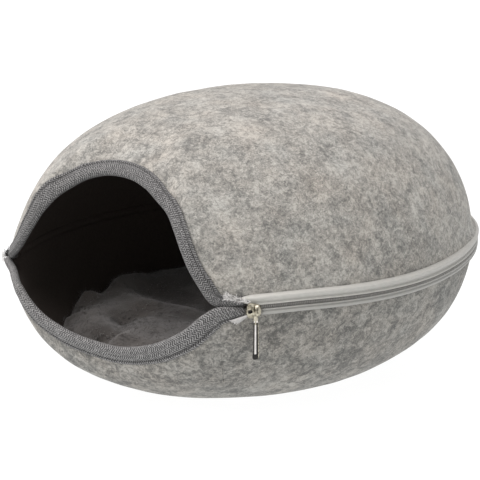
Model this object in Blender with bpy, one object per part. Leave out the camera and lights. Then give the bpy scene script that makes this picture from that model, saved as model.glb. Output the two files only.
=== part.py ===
"""Felt cat cave: two moulded felt halves joined by a zip, with a bound mouth and a plush cushion.

The dome and the base are lined shells that meet at the zip line.  Between the two zip ends their
edges part to make the mouth, which a folded tape binds and draws slightly inwards.
Lengths below are in millimetres.  The mouth faces -Y, +Z is up, the base stands on Z = 0.
"""
import math
from collections import namedtuple

import bpy
from mathutils import Vector

MM = 0.001
GAP = 0.3                    # air between neighbouring pieces
TINY = 1e-4                  # step of the numerical tangents, radians

# Plan of the zip line: two half ellipses
HALF_WIDTH = 175.0
FRONT_REACH = 220.0
BACK_REACH = 230.0

# Profile of each half: z = rise * ((sin c - sin crease) / (1 - sin crease)) ** (2 / power)
Half = namedtuple("Half", "sign rise power crease lean floor")
DOME = Half(+1, 133.6, 2.444, math.radians(8.83), 14.1, None)
BASE = Half(-1, 114.2, 2.620, math.radians(10.55), 11.0, 106.5)

# Walls
FELT = 4.5
LINING = 1.2
WALL = FELT + GAP + LINING
RIM_HEIGHT = 0.8             # rim line above or below the zip plane, outside the mouth
FELT_START = 2.2             # the felt's cut edge, from the rim line

# Mouth: rim line of each half between the zip ends, turn from the front and height from the zip
MOUTH_TURN = 47.5
Rim = namedtuple("Rim", "turn height")
DOME_RIM = [Rim(-47.5, 0.8), Rim(-42.0, 1.5), Rim(-38.5, 8), Rim(-35.0, 20), Rim(-31.0, 38),
            Rim(-28.4, 54), Rim(-25.5, 68), Rim(-21.0, 80), Rim(-16.5, 88), Rim(-8.0, 94),
            Rim(4.0, 95), Rim(13.6, 90), Rim(20.4, 82), Rim(25.0, 73), Rim(28.3, 60),
            Rim(31.2, 44), Rim(33.4, 31), Rim(36.2, 17), Rim(39.0, 6), Rim(42.0, 1.5),
            Rim(47.5, 0.8)]
BASE_RIM = [Rim(-47.5, 0.8), Rim(-41.0, 1.5), Rim(-34.0, 5), Rim(-28.0, 10), Rim(-24.0, 20),
            Rim(-19.0, 31), Rim(-13.0, 39), Rim(-6.0, 46), Rim(2.0, 50), Rim(9.6, 51.5),
            Rim(17.0, 47), Rim(23.0, 40), Rim(28.2, 31), Rim(33.0, 20), Rim(37.0, 8.5),
            Rim(41.0, 1.5), Rim(47.5, 0.8)]

# The binding draws the mouth in: depth, middle, half width, power of the taper, fading height.
# The left corner flares out by the last value.
Draw = namedtuple("Draw", "depth middle half_width power fade flare")
DOME_DRAW = Draw(12.5, 0.0, 130.0, 4, 35.0, 3.0)
BASE_DRAW = Draw(13.0, 15.0, 100.0, 2, 30.0, 5.5)
FLARE_TURN = -47.5
FLARE_SPREAD = 7.0           # degrees
FLARE_HEIGHT = 26.0

# Binding tape, folded over the mouth's edge
TAPE = 1.0
TapeWidth = namedtuple("TapeWidth", "left middle right")
DOME_TAPE = TapeWidth(7.0, 15.0, 7.0)
BASE_TAPE = TapeWidth(10.5, 16.0, 14.5)
TAPE_TAPER = 5               # power of the narrowing towards the corners
TAPE_INNER_SHARE = 0.75      # inner arm's width over the outer arm's
TAPE_END_TURN = 47.1
TAPE_SLACK = 0.4             # the tape's arms lie a little off the walls

# Zip: two welts over the tape, and the coil between them
ZIP_START = 50.9             # turns of the welts' ends, past the slider on the right
ZIP_END = 311.7
UPPER_WELT = [(0.7, 0.3), (0.7, 3.2), (1.8, 4.5), (4.4, 5.0), (7.4, 4.3), (9.4, 2.5),
              (10.0, 0.3)]
LOWER_WELT = [(0.7, 0.3), (0.7, 3.2), (1.6, 3.9), (3.2, 4.0), (5.4, 3.4), (7.2, 2.0), (7.8, 0.3)]
COIL_HALF_HEIGHT = 1.2
COIL_DEPTH = (-4.5, 3.2)
COIL_START = 47.7
COIL_END = 312.3

# Slider and its pull, at the zip's open end
SLIDER_TURN = 49.3
SLIDER_DROP = 3.4            # its middle hangs below the zip plane
SLIDER_LENGTH = 11.0
SLIDER_HEIGHT = 10.0
SLIDER_PLATE = (3.6, 5.8)    # from and to, outwards from the felt
BRIDGE_TOP = 10.2
BRIDGE_WIDTH = 4.2
BRIDGE_BAR = 1.5
PULL_WIDTH = 5.6
PULL_LENGTH = 48.0
PULL_THICKNESS = 1.4
PULL_HEAD = 1.8              # height of the head that keeps it in the bridge
PULL_NECK = 1.9              # half width of the neck

# Cushion, lying in the base
CUSHION_HALF_WIDTH = 134.0
CUSHION_FRONT = 164.0
CUSHION_BACK = 168.0
CUSHION_MIDDLE = -4.0        # place of its middle along the cave
CUSHION_SEAM = -60.0         # height of its seam from the zip plane
CUSHION_CROWN = 18.0         # rise of its plump rim above the seam
CUSHION_BED = 0.6            # clearance over the lined floor
Lump = namedtuple("Lump", "x y rise radius")
LUMPS = [Lump(-98, -92, 13, 34), Lump(64, -96, 3, 48), Lump(-10, -40, -7, 46),
         Lump(70, 40, 5, 60), Lump(-92, 40, 6, 62), Lump(6, -130, -6, 34)]

# Mesh density
MOUTH_COLUMNS = 36
BACK_COLUMNS = 36
CROWN_ROWS = 8
LINING_MARGIN = 6            # columns beside the mouth that the lining keeps
CUSHION_SPOKES = 32


def smooth_step(value):
    """Ease from 0 to 1."""
    value = min(max(value, 0.0), 1.0)
    return value * value * (3 - 2 * value)


def read_table(rows, place):
    """Smooth curve through a table's (place, value) rows."""
    last = len(rows) - 1
    k = 0
    while k < last - 1 and place > rows[k + 1][0]:
        k += 1
    (x0, y0), (x1, y1) = rows[k], rows[k + 1]

    def slope(i):
        low, high = rows[max(i - 1, 0)], rows[min(i + 1, last)]
        return (high[1] - low[1]) / (high[0] - low[0])

    span = x1 - x0
    t = min(max((place - x0) / span, 0.0), 1.0)
    return (y0 * (1 + 2 * t) * (1 - t) ** 2 + y1 * t * t * (3 - 2 * t)
            + span * (slope(k) * t * (1 - t) ** 2 - slope(k + 1) * t * t * (1 - t)))


def signed_turn(turn):
    """A turn in degrees, brought between -180 and 180."""
    return (turn + 180) % 360 - 180


def rim_height(half, turn):
    """Height of the rim line from the zip plane at a turn in degrees."""
    turn = signed_turn(turn)
    if abs(turn) >= MOUTH_TURN:
        return RIM_HEIGHT
    return max(read_table(DOME_RIM if half.sign > 0 else BASE_RIM, turn), RIM_HEIGHT)


def climb_at(half, height):
    """Profile angle at which a half reaches a height."""
    crease = math.sin(half.crease)
    share = min(height / half.rise, 1.0) ** (half.power / 2)
    return math.asin(min(share * (1 - crease) + crease, 1.0))


def plain_point(half, turn, climb):
    """Point of a half's outer face before the mouth is drawn in; turn and climb in radians."""
    crease = math.sin(half.crease)
    reach = (math.cos(climb) / math.cos(half.crease)) ** (2 / half.power)
    height = half.rise * (max(math.sin(climb) - crease, 0.0) / (1 - crease)) ** (2 / half.power)
    if half.floor:
        height = min(height, half.floor)
    length = FRONT_REACH if math.cos(turn) > 0 else BACK_REACH
    return Vector((HALF_WIDTH * math.sin(turn) * reach,
                   -length * math.cos(turn) * reach + (1 - reach) * half.lean,
                   half.sign * height))


def tangents(point_at, half, turn, climb):
    """Unit-less tangents along the turn and along the climb."""
    along = point_at(half, turn + TINY, climb) - point_at(half, turn - TINY, climb)
    up = point_at(half, turn, climb + TINY) - point_at(half, turn, climb - TINY)
    return along / (2 * TINY), up / (2 * TINY)


def outward(point_at, half, turn, climb):
    """Unit normal that points out of the cave."""
    if climb > math.radians(89.5):
        return Vector((0, 0, half.sign))
    along, up = tangents(point_at, half, turn, climb)
    return (along.cross(up) * half.sign).normalized()


def draw_depth(half, turn, point):
    """How far the binding draws a point of the outer face inwards."""
    degrees = signed_turn(math.degrees(turn))
    draw = DOME_DRAW if half.sign > 0 else BASE_DRAW
    beside = math.exp(-((degrees - FLARE_TURN) / FLARE_SPREAD) ** 2)
    flare = draw.flare * beside * (1 - smooth_step(abs(point.z) / FLARE_HEIGHT))
    if abs(degrees) >= MOUTH_TURN:
        return -flare
    taper = max(1 - (abs(point.x - draw.middle) / draw.half_width) ** draw.power, 0.0)
    above = abs(point.z) - rim_height(half, degrees)
    return draw.depth * taper * (1 - smooth_step(above / draw.fade)) - flare


def face_point(half, turn, climb):
    """Point of the finished outer face."""
    point = plain_point(half, turn, climb)
    depth = draw_depth(half, turn, point)
    if abs(depth) > 0.001:
        point = point - outward(plain_point, half, turn, climb) * depth
    return point


def walk(half, spot, heading, distance):
    """Move a (turn, climb) spot by a distance along a heading that lies on the face."""
    along, up = tangents(plain_point, half, *spot)
    aa, au, uu = along.dot(along), along.dot(up), up.dot(up)
    ha, hu = heading.dot(along) * distance, heading.dot(up) * distance
    det = aa * uu - au * au
    return spot[0] + (ha * uu - hu * au) / det, spot[1] + (hu * aa - ha * au) / det


def tape_width(half, turn):
    """Width of the binding's outer arm at a turn in degrees."""
    share = min(abs(signed_turn(turn)) / MOUTH_TURN, 1.0)
    tape = DOME_TAPE if half.sign > 0 else BASE_TAPE
    end = tape.right if signed_turn(turn) > 0 else tape.left
    return tape.middle - (tape.middle - end) * share ** TAPE_TAPER


def spread_evenly(points, count):
    """Fractional places of count + 1 stops, evenly spaced along a polyline."""
    lengths = [0.0]
    for a, b in zip(points, points[1:]):
        lengths.append(lengths[-1] + (b - a).length)
    stops, k = [], 0
    for i in range(count + 1):
        goal = lengths[-1] * i / count
        while k < len(lengths) - 2 and lengths[k + 1] < goal:
            k += 1
        stops.append(k + (goal - lengths[k]) / (lengths[k + 1] - lengths[k]))
    return stops


def rim_spot(half, turn):
    """(turn, climb) in radians of the rim line at a turn in degrees."""
    return math.radians(turn), climb_at(half, rim_height(half, turn))


def even_turns(half, low, high, count):
    """Turns in degrees, evenly spaced along the rim line."""
    samples = 400
    turns = [low + (high - low) * i / samples for i in range(samples + 1)]
    points = [plain_point(half, *rim_spot(half, turn)) for turn in turns]
    return [low + (high - low) * stop / samples for stop in spread_evenly(points, count)]


def rim_frame(half, turn):
    """Spot on the rim line, and the heading across it into the wall."""
    spot = rim_spot(half, turn)
    step = 0.4
    ahead = plain_point(half, *rim_spot(half, turn + step))
    behind = plain_point(half, *rim_spot(half, turn - step))
    normal = outward(plain_point, half, *spot)
    heading = normal.cross(ahead - behind).normalized() * half.sign
    return spot, heading


def column(half, turn, pole_turn):
    """Spots of one column of the wall, from the felt's cut edge to just before the pole."""
    spot, heading = rim_frame(half, turn)
    width = tape_width(half, turn)
    spots = []
    for near, far in ((0, FELT_START), (FELT_START, width / 2), (width / 2, width + 1.5)):
        spot = walk(half, spot, heading, far - near)
        spots.append(spot)
    flat = climb_at(half, half.floor) if half.floor else None
    for row in range(1, CROWN_ROWS):
        share = (row / CROWN_ROWS) ** 1.15
        climb = spot[1] + (math.pi / 2 - spot[1]) * share
        if flat:
            reached = min(row / (CROWN_ROWS - 2), 1.0) ** 1.1
            climb = spot[1] + (flat - spot[1]) * reached
            if row == CROWN_ROWS - 1:
                climb = (flat + math.pi / 2) / 2
        spots.append((spot[0] + (pole_turn - spot[0]) * share, climb))
    return spots


def wall_columns(half):
    """Columns of spots right round a half; the first ones cross the mouth."""
    mouth = even_turns(half, -MOUTH_TURN, MOUTH_TURN, MOUTH_COLUMNS)
    back = even_turns(half, MOUTH_TURN, 360 - MOUTH_TURN, BACK_COLUMNS)
    columns = []
    for i, turn in enumerate(mouth[:-1]):
        pole = -MOUTH_TURN + 2 * MOUTH_TURN * i / MOUTH_COLUMNS
        columns.append(column(half, turn, math.radians(pole)))
    for turn in back[:-1]:
        columns.append(column(half, turn, math.radians(turn)))
    return columns


def offset_grid(half, columns, offset):
    """Points at an offset outwards from the spots of the wall."""
    return [[face_point(half, *spot) + outward(face_point, half, *spot) * offset for spot in spots]
            for spots in columns]


def build_mesh(name, points, faces, material):
    """Object from points in millimetres, in the cave's own frame."""
    mesh = bpy.data.meshes.new(name)
    mesh.from_pydata([tuple(point * MM) for point in points], [], faces)
    mesh.materials.append(material)
    mesh.shade_smooth()
    mesh.set_sharp_from_angle(angle=math.radians(50))
    piece = bpy.data.objects.new(name, mesh)
    bpy.context.scene.collection.objects.link(piece)
    return piece


def bowl(name, half, columns, outer, inner, material):
    """Closed wall between two offsets, with a pole at its top or bottom."""
    grids = [offset_grid(half, columns, outer), offset_grid(half, columns, inner)]
    rows, count = len(columns[0]), len(columns)
    points, faces = [], []
    for grid, offset in zip(grids, (outer, inner)):
        start = len(points)
        for spots in grid:
            points.extend(spots)
        pole = plain_point(half, 0.0, math.pi / 2)
        points.append(pole + Vector((0, 0, half.sign * offset)))
        flip = (offset == inner) != (half.sign < 0)
        for i in range(count):
            a, b = start + i * rows, start + (i + 1) % count * rows
            strip = [(a + j, b + j, b + j + 1) for j in range(rows - 1)]
            strip += [(a + j, b + j + 1, a + j + 1) for j in range(rows - 1)]
            strip.append((a + rows - 1, b + rows - 1, start + count * rows))
            faces.extend(face[::-1] if flip else face for face in strip)
    second = count * rows + 1
    for i in range(count):
        a, b = i * rows, (i + 1) % count * rows
        rim = (b, a, second + a, second + b)
        faces.append(rim[::-1] if half.sign < 0 else rim)
    return build_mesh(name, points, faces, material)


def sweep(name, sections, material, ring=False, flip=False):
    """Closed solid through equal polygons: capped at both ends, or joined into a ring."""
    size, count = len(sections[0]), len(sections)
    points = [point for section in sections for point in section]
    faces = []
    for i in range(count if ring else count - 1):
        a, b = i * size, (i + 1) % count * size
        faces.extend((a + j, a + (j + 1) % size, b + (j + 1) % size, b + j) for j in range(size))
    if not ring:
        faces.append(tuple(range(size))[::-1])
        faces.append(tuple((count - 1) * size + j for j in range(size)))
    if flip:
        faces = [face[::-1] for face in faces]
    return build_mesh(name, points, faces, material)


def binding(name, half, material):
    """Tape folded over the mouth's edge of one half."""
    turns = even_turns(half, -MOUTH_TURN, MOUTH_TURN, MOUTH_COLUMNS)
    turns[0], turns[-1] = -TAPE_END_TURN, TAPE_END_TURN
    slack = GAP + TAPE_SLACK
    out, back = slack + TAPE, -WALL - slack - TAPE
    sections = []
    for turn in turns:
        spot, heading = rim_frame(half, turn)
        width = tape_width(half, turn)
        inner_width = width * TAPE_INNER_SHARE
        edge = [(2.4, out), (1.2, out - 0.7), (0.7, -WALL / 2), (1.2, back + 0.7), (2.4, back)]
        lining_side = [(width / 2, back), (inner_width, back), (inner_width, -WALL - slack),
                       (width / 2, -WALL - slack)]
        hollow = [(FELT_START - GAP, -WALL - slack), (FELT_START - GAP, slack)]
        profile = [(width, out), (width / 2, out), *edge, *lining_side, *hollow,
                   (width / 2, slack), (width, slack)]
        section = []
        for distance, offset in profile:
            there = walk(half, spot, heading, distance)
            normal = outward(face_point, half, *there)
            section.append(face_point(half, *there) + normal * offset)
        sections.append(section)
    return sweep(name, sections, material, flip=half.sign < 0)


def zip_turns(start, end):
    """Turns in degrees along the closed stretch of the zip."""
    return even_turns(DOME, start, end, BACK_COLUMNS + 4)


def band(name, half, profile, turns, material):
    """Solid of a constant profile (height from the rim line, offset) along the zip."""
    sections = []
    for turn in turns:
        spot = rim_spot(half, turn)
        normal = outward(face_point, half, *spot)
        normal.z = 0
        foot = face_point(half, *spot)
        sections.append([foot + normal.normalized() * offset + Vector((0, 0, half.sign * height))
                         for height, offset in profile])
    return sweep(name, sections, material, flip=half.sign > 0)


def slider_frame():
    """Local frame of the zip slider, its origin just below the zip plane."""
    turn = math.radians(SLIDER_TURN)
    foot = plain_point(DOME, turn, DOME.crease)
    along = plain_point(DOME, turn + TINY, DOME.crease) - plain_point(DOME, turn - TINY, DOME.crease)
    along.z = 0
    along.normalize()
    out = along.cross(Vector((0, 0, 1)))
    return foot - Vector((0, 0, SLIDER_DROP)), along, out, Vector((0, 0, 1))


def slider(name, material):
    """Slider plate with a bridge: an upright ring of rectangular section on a bevelled plate."""
    origin, along, out, up = slider_frame()
    low, high = SLIDER_PLATE
    length, height = SLIDER_LENGTH / 2, SLIDER_HEIGHT / 2
    outline = [(-length, -height * 0.6), (-length * 0.5, -height), (length * 0.7, -height),
               (length, -height * 0.7), (length, height * 0.7), (length * 0.7, height),
               (-length * 0.5, height), (-length, height * 0.6)]
    sections = [[origin + along * x + out * level + up * z for x, z in outline]
                for level in (low, high)]
    plate = sweep(name, sections, material, flip=True)
    half = BRIDGE_WIDTH / 2
    post = BRIDGE_BAR
    reach = length * 0.72
    arch = [(-reach, high - 0.5), (-reach, BRIDGE_TOP - post), (-reach + post, BRIDGE_TOP),
            (reach - post, BRIDGE_TOP), (reach, BRIDGE_TOP - post), (reach, high - 0.5),
            (reach - post, high - 0.5), (reach - post, BRIDGE_TOP - post),
            (-reach + post, BRIDGE_TOP - post), (-reach + post, high - 0.5)]
    sides = [[origin + along * x + out * y + up * z for x, y in arch] for z in (-half, half)]
    bridge = sweep(name + "_bridge", sides, material, flip=True)
    union = plate.modifiers.new("bridge", "BOOLEAN")
    union.operation = "UNION"
    union.object = bridge
    bridge.hide_render = True
    bridge.display_type = "WIRE"
    return plate


def pull(name, material):
    """Flat pull that hangs down the felt; its neck passes under the slider's bridge."""
    origin, along, out, up = slider_frame()
    middle = (SLIDER_PLATE[1] + BRIDGE_TOP - BRIDGE_BAR) / 2
    half, thick = PULL_WIDTH / 2, PULL_THICKNESS / 2
    shoulder = BRIDGE_WIDTH / 2 + 2 * GAP
    top = shoulder + PULL_HEAD
    bottom = top - PULL_LENGTH
    round_off = 1.2
    right_side = [(half - round_off, bottom), (half, bottom + round_off), (half, -shoulder - 1),
                  (PULL_NECK, -shoulder), (PULL_NECK, shoulder), (half, shoulder + 0.5),
                  (half, top - 0.8), (half - 0.8, top)]
    outline = right_side + [(-x, z) for x, z in reversed(right_side)]
    sections = [[origin + along * x + out * level + up * z for x, z in outline]
                for level in (middle - thick, middle + thick)]
    return sweep(name, sections, material)


def cushion(name, material):
    """Filled oval cushion: lumpy crown, sides drawn in to a seam, flat where it lies."""
    bed = -BASE.floor + WALL + CUSHION_BED
    rows = [(0.52, bed), (0.71, bed + 8), (0.86, bed + 19), (0.95, bed + 30),
            (1.00, CUSHION_SEAM), (0.985, CUSHION_SEAM + 0.5 * CUSHION_CROWN),
            (0.93, CUSHION_SEAM + 0.86 * CUSHION_CROWN), (0.80, CUSHION_SEAM + CUSHION_CROWN),
            (0.60, CUSHION_SEAM + 0.93 * CUSHION_CROWN), (0.30, CUSHION_SEAM + 0.8 * CUSHION_CROWN)]
    points, faces = [], []
    for reach, height in rows:
        for i in range(CUSHION_SPOKES):
            angle = math.tau * i / CUSHION_SPOKES
            length = CUSHION_BACK if math.sin(angle) > 0 else CUSHION_FRONT
            x = CUSHION_HALF_WIDTH * reach * math.cos(angle)
            y = length * reach * math.sin(angle)
            lift = 0.0
            if height > CUSHION_SEAM:
                lift = (height - CUSHION_SEAM) / CUSHION_CROWN * lump_height(x, y + CUSHION_MIDDLE)
            points.append(Vector((x, y + CUSHION_MIDDLE, height + lift)))
    last = len(rows) - 1
    for j in range(last):
        for i in range(CUSHION_SPOKES):
            a, b = j * CUSHION_SPOKES + i, j * CUSHION_SPOKES + (i + 1) % CUSHION_SPOKES
            faces.append((a, b, b + CUSHION_SPOKES, a + CUSHION_SPOKES))
    points.append(Vector((0, CUSHION_MIDDLE, rows[-1][1] + lump_height(0, CUSHION_MIDDLE))))
    faces.append(tuple(range(CUSHION_SPOKES))[::-1])
    top = len(points) - 1
    for i in range(CUSHION_SPOKES):
        a = last * CUSHION_SPOKES + i
        faces.append((a, last * CUSHION_SPOKES + (i + 1) % CUSHION_SPOKES, top))
    return build_mesh(name, points, faces, material)


def lump_height(x, y):
    """Rise and fall of the cushion's top."""
    return sum(lump.rise * math.exp(-((x - lump.x) ** 2 + (y - lump.y) ** 2) / lump.radius ** 2)
               for lump in LUMPS)


def lining_columns(columns):
    """The wall's columns, every second one left out away from the mouth."""
    plain = range(MOUTH_COLUMNS + LINING_MARGIN, len(columns) - LINING_MARGIN)
    return [spots for i, spots in enumerate(columns) if i not in plain or i % 2 == 0]


def make_material(name, colour, roughness, metallic=0.0):
    """Principled material of one colour."""
    material = bpy.data.materials.new(name)
    material.use_nodes = True
    shader = material.node_tree.nodes["Principled BSDF"]
    shader.inputs["Base Color"].default_value = (*colour, 1.0)
    shader.inputs["Roughness"].default_value = roughness
    shader.inputs["Metallic"].default_value = metallic
    return material


def stand_on_floor(pieces):
    """Move the whole cave so that the origin is under its middle, on the floor."""
    corners = [vertex.co for piece in pieces for vertex in piece.data.vertices]
    low = Vector(min(corner[k] for corner in corners) for k in range(3))
    high = Vector(max(corner[k] for corner in corners) for k in range(3))
    shift = Vector(((low.x + high.x) / 2, (low.y + high.y) / 2, low.z))
    for piece in bpy.context.scene.objects:
        for vertex in piece.data.vertices:
            vertex.co -= shift


def main():
    """Build the cave."""
    for old in list(bpy.data.objects):
        bpy.data.objects.remove(old, do_unlink=True)
    felt = make_material("felt", (0.40, 0.38, 0.36), 0.95)
    dark = make_material("dark_lining", (0.012, 0.011, 0.010), 0.95)
    tape = make_material("binding_tape", (0.16, 0.165, 0.165), 0.9)
    welt = make_material("zip_tape", (0.42, 0.41, 0.40), 0.8)
    nylon = make_material("zip_coil", (0.20, 0.20, 0.20), 0.5)
    metal = make_material("zip_metal", (0.60, 0.60, 0.62), 0.25, 1.0)
    plush = make_material("plush", (0.14, 0.13, 0.13), 1.0)
    pieces = []
    for half, side, welt_profile in ((DOME, "upper", UPPER_WELT), (BASE, "lower", LOWER_WELT)):
        columns = wall_columns(half)
        pieces.append(bowl("felt_" + side, half, columns, 0.0, -FELT, felt))
        pieces.append(bowl("lining_" + side, half, lining_columns(columns),
                           -FELT - GAP, -WALL, dark))
        pieces.append(binding("binding_" + side, half, tape))
        turns = zip_turns(ZIP_START, ZIP_END)
        pieces.append(band("zip_tape_" + side, half, welt_profile, turns, welt))
    low, high = COIL_DEPTH
    bottom, top = -COIL_HALF_HEIGHT - RIM_HEIGHT, COIL_HALF_HEIGHT - RIM_HEIGHT
    core = [(bottom, low), (bottom, high), (top, high), (top, low)]
    pieces.append(band("zip_coil", DOME, core, zip_turns(COIL_START, COIL_END), nylon))
    pieces.append(slider("zip_slider", metal))
    pieces.append(pull("zip_pull", metal))
    pieces.append(cushion("cushion", plush))
    stand_on_floor(pieces)


main()
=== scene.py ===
"""Felt cat cave: moulded felt walls, woven binding, nylon zip and plush cushion on its frame.

Points are worked out in millimetres from the middle of the zip line, with X across the mouth, the
mouth towards -Y and Z up; place() brings them into the frame's own metres.
"""
import math
from collections import namedtuple

import bmesh
import bpy
import numpy as np
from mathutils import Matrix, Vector, noise


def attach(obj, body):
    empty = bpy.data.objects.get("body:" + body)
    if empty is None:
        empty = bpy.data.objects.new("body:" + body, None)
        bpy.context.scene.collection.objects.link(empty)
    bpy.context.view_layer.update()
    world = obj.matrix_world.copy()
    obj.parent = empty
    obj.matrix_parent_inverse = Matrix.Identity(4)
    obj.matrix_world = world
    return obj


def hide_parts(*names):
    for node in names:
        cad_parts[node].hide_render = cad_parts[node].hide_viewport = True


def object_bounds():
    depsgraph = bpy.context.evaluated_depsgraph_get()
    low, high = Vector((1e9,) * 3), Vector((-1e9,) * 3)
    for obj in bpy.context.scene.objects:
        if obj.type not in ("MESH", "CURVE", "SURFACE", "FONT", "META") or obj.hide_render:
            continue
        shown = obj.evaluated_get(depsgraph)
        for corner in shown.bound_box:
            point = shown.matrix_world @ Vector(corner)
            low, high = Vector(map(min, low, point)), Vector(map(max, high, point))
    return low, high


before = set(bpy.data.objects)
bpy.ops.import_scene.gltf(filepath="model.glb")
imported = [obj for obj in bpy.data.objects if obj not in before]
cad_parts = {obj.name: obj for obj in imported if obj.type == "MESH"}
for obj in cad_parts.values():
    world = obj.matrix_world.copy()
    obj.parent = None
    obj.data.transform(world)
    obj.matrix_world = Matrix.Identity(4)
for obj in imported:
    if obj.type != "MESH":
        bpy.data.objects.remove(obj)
cad_low, cad_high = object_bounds()

# Measures are in millimetres and turns in degrees from the mouth's middle, unless they say so
MM = 0.001
UP = np.array([0.0, 0.0, 1.0])
GAP = 0.3                    # clearance between two layers
TINY = 1e-4                  # step of the numerical tangents, radians
WALK_STEPS = 6               # steps in which a walk over the curved face is made

# Mesh density
MOUTH_COLUMNS = 150
BACK_COLUMNS = 170
RIM_ROWS = 5
CROWN_ROWS = 46
CROWN_EASE = 1.1
RIM_SAMPLES = 1600

# Plan of the zip line, and each half's profile: its rise, the power of its curve, the crease where
# it meets the zip line, how far its crown leans back, and the height at which a floor cuts it off
HALF_WIDTH = 175.0
FRONT_REACH = 220.0
BACK_REACH = 230.0
Half = namedtuple("Half", "name sign rise power crease lean floor")
DOME = Half("upper", +1, 133.6, 2.444, math.radians(8.83), 14.1, None)
BASE = Half("lower", -1, 114.2, 2.620, math.radians(10.55), 11.0, 106.5)
FLOOR_ROUNDING = 2.6         # softness of the base's moulded lower edge

# Walls
FELT = 4.5
LINING = 1.2
WALL = FELT + GAP + LINING
UNEVEN = 0.7                 # height of the moulded walls' slow waves
RIM_HEIGHT = 0.8             # where each half starts above or below the zip plane
FELT_START = 2.2             # the felt's cut edge, into the wall from the rim line
LINING_START = 0.3           # the lining's edge beside the zip

# Mouth: rim line of each half, as turn and height from the zip plane
MOUTH_TURN = 47.5
RIM = {
    "upper": [(-47.5, 0.8), (-42, 2), (-38.5, 10), (-35, 23), (-31, 41.5), (-28.4, 57),
              (-25.5, 70.5), (-21, 82), (-16.5, 90), (-8, 96), (4, 96.5), (13.6, 91), (20.4, 82),
              (25, 73), (28.3, 60), (31.2, 44), (33.4, 31), (36.2, 17), (39, 5), (41.5, 1),
              (47.5, 0.8)],
    "lower": [(-47.5, 0.8), (-41, 1.5), (-34, 5), (-28, 10), (-24, 20), (-19, 31), (-13, 39),
              (-6, 46), (2, 50), (9.6, 51.5), (17, 47), (23, 40), (28.2, 31), (33, 20), (37, 8),
              (40, 2), (41.5, 0.9), (47.5, 0.8)]}
# The binding draws the mouth's edge in, least beside its corners, and the left corner flares out
Draw = namedtuple("Draw", "depth middle left right power fade flare flare_height")
DRAW = {"upper": Draw(12.5, 0.0, 118.0, 130.0, 4, 35.0, 4.4, 44.0),
        "lower": Draw(13.0, 15.0, 100.0, 100.0, 2, 30.0, 8.6, 26.0)}
FLARE_TURN = -47.5
FLARE_SPREAD = 7.0
Press = namedtuple("Press", "turn spread dome base")
PRESSES = [Press(-47.5, 4.0, 6.2, 0.0),      # the dome's left corner, tucked behind the base's
           Press(42.5, 5.0, 2.2, 2.2)]       # the right corner, where the tapes touch
PRESS_HEIGHT = 26.0

# Round the back the dome's felt bulges over the top of the zip's upper band
ROLL = 3.2
ROLL_TURNS = (105.0, 130.0)
ROLL_HEIGHTS = (3.5, 8.5, 14.5)

# Binding tape, and the width of its outer arm by turn
TAPE = 1.0
TAPE_COLUMNS = 260
TAPE_WIDTH = {
    "upper": [(-47.5, 8.0), (-41, 10.5), (-34, 12), (-26, 13.5), (-12, 15.5), (0, 15.5),
              (12, 14.5), (22, 12.8), (32, 12.5), (40, 12.5), (47.5, 8.5)],
    "lower": [(-47.5, 6.5), (-40, 8), (-30, 10.5), (-15, 13), (5, 15), (20, 16), (32, 17),
              (40, 16), (44, 12), (47.5, 8)]}
TAPE_BORDER = 1.5            # felt that is meshed finely beyond the tape
TAPE_INNER_SHARE = 0.75
TAPE_END_TURN = 47.1
TAPE_SLACK = 0.4
PINCH = 0.42                 # share of the wall's thickness left at the mouth's edge
PINCH_REACH = 24.0
PINCH_TURNS = (MOUTH_TURN + 3, MOUTH_TURN - 2)   # where the squeeze begins, and is full
PUCKER = 0.22                # the sewn tape's unevenness
STITCHED = (3, 4)            # sides of the tape's profile that lie in its sewn groove, which take a darker copy of the tape: painted shade

# Zip: turns at which its parts start and end
ZIP_START = 50.9
UPPER_BAND_START = 45.4      # the upper band's loose end runs on over the slider
ZIP_END = 309.5
COIL_START = 47.9
COIL_END = 312.1
SLIDER_TURN = 49.3
SLIDER_DROP = 2.7            # the slider's middle below the zip line


# ---- the cave's own shape -------------------------------------------------------------------

BAND_BULGE = 5.0             # how far the part's zip band stands out behind the felt
MIDDLE = np.array([0.0, cad_high.y / MM - BACK_REACH - BAND_BULGE, BASE.floor])
Wave = namedtuple("Wave", "bearing front back rise")
ZIP_WAVES = [Wave(98.0, 30.0, 45.0, -3.9), Wave(53.0, 13.0, 13.0, 1.3)]
WAVE_HEIGHT = 45.0           # the waves die away above and below the zip line
WAVE_REACH = 120.0           # and towards the cave's axis


def waviness(points):
    """Rise of the zip line and the felt beside it, where the shell has settled."""
    bearing = np.degrees(np.arctan2(points[..., 0], -points[..., 1]))
    rise = 0.0
    for wave in ZIP_WAVES:
        away = bearing - wave.bearing
        rise = rise + wave.rise * np.exp(-(away / np.where(away < 0, wave.front, wave.back)) ** 2)
    beside = smooth_step(np.hypot(points[..., 0], points[..., 1]) / WAVE_REACH)
    return rise * beside * np.exp(-(points[..., 2] / WAVE_HEIGHT) ** 2)


def place(points):
    """Millimetres from the middle of the zip line, as metres in the frame."""
    points = np.array(points, dtype=float)
    points[..., 2] += waviness(points)
    return (points + MIDDLE) * MM


def smooth_step(value):
    """Ease from 0 to 1."""
    value = np.clip(value, 0.0, 1.0)
    return value * value * (3 - 2 * value)


def eased(value, start, end):
    """Ease from 0 to 1 while a value goes from its start to its end."""
    return smooth_step((value - start) / (end - start))


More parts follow.
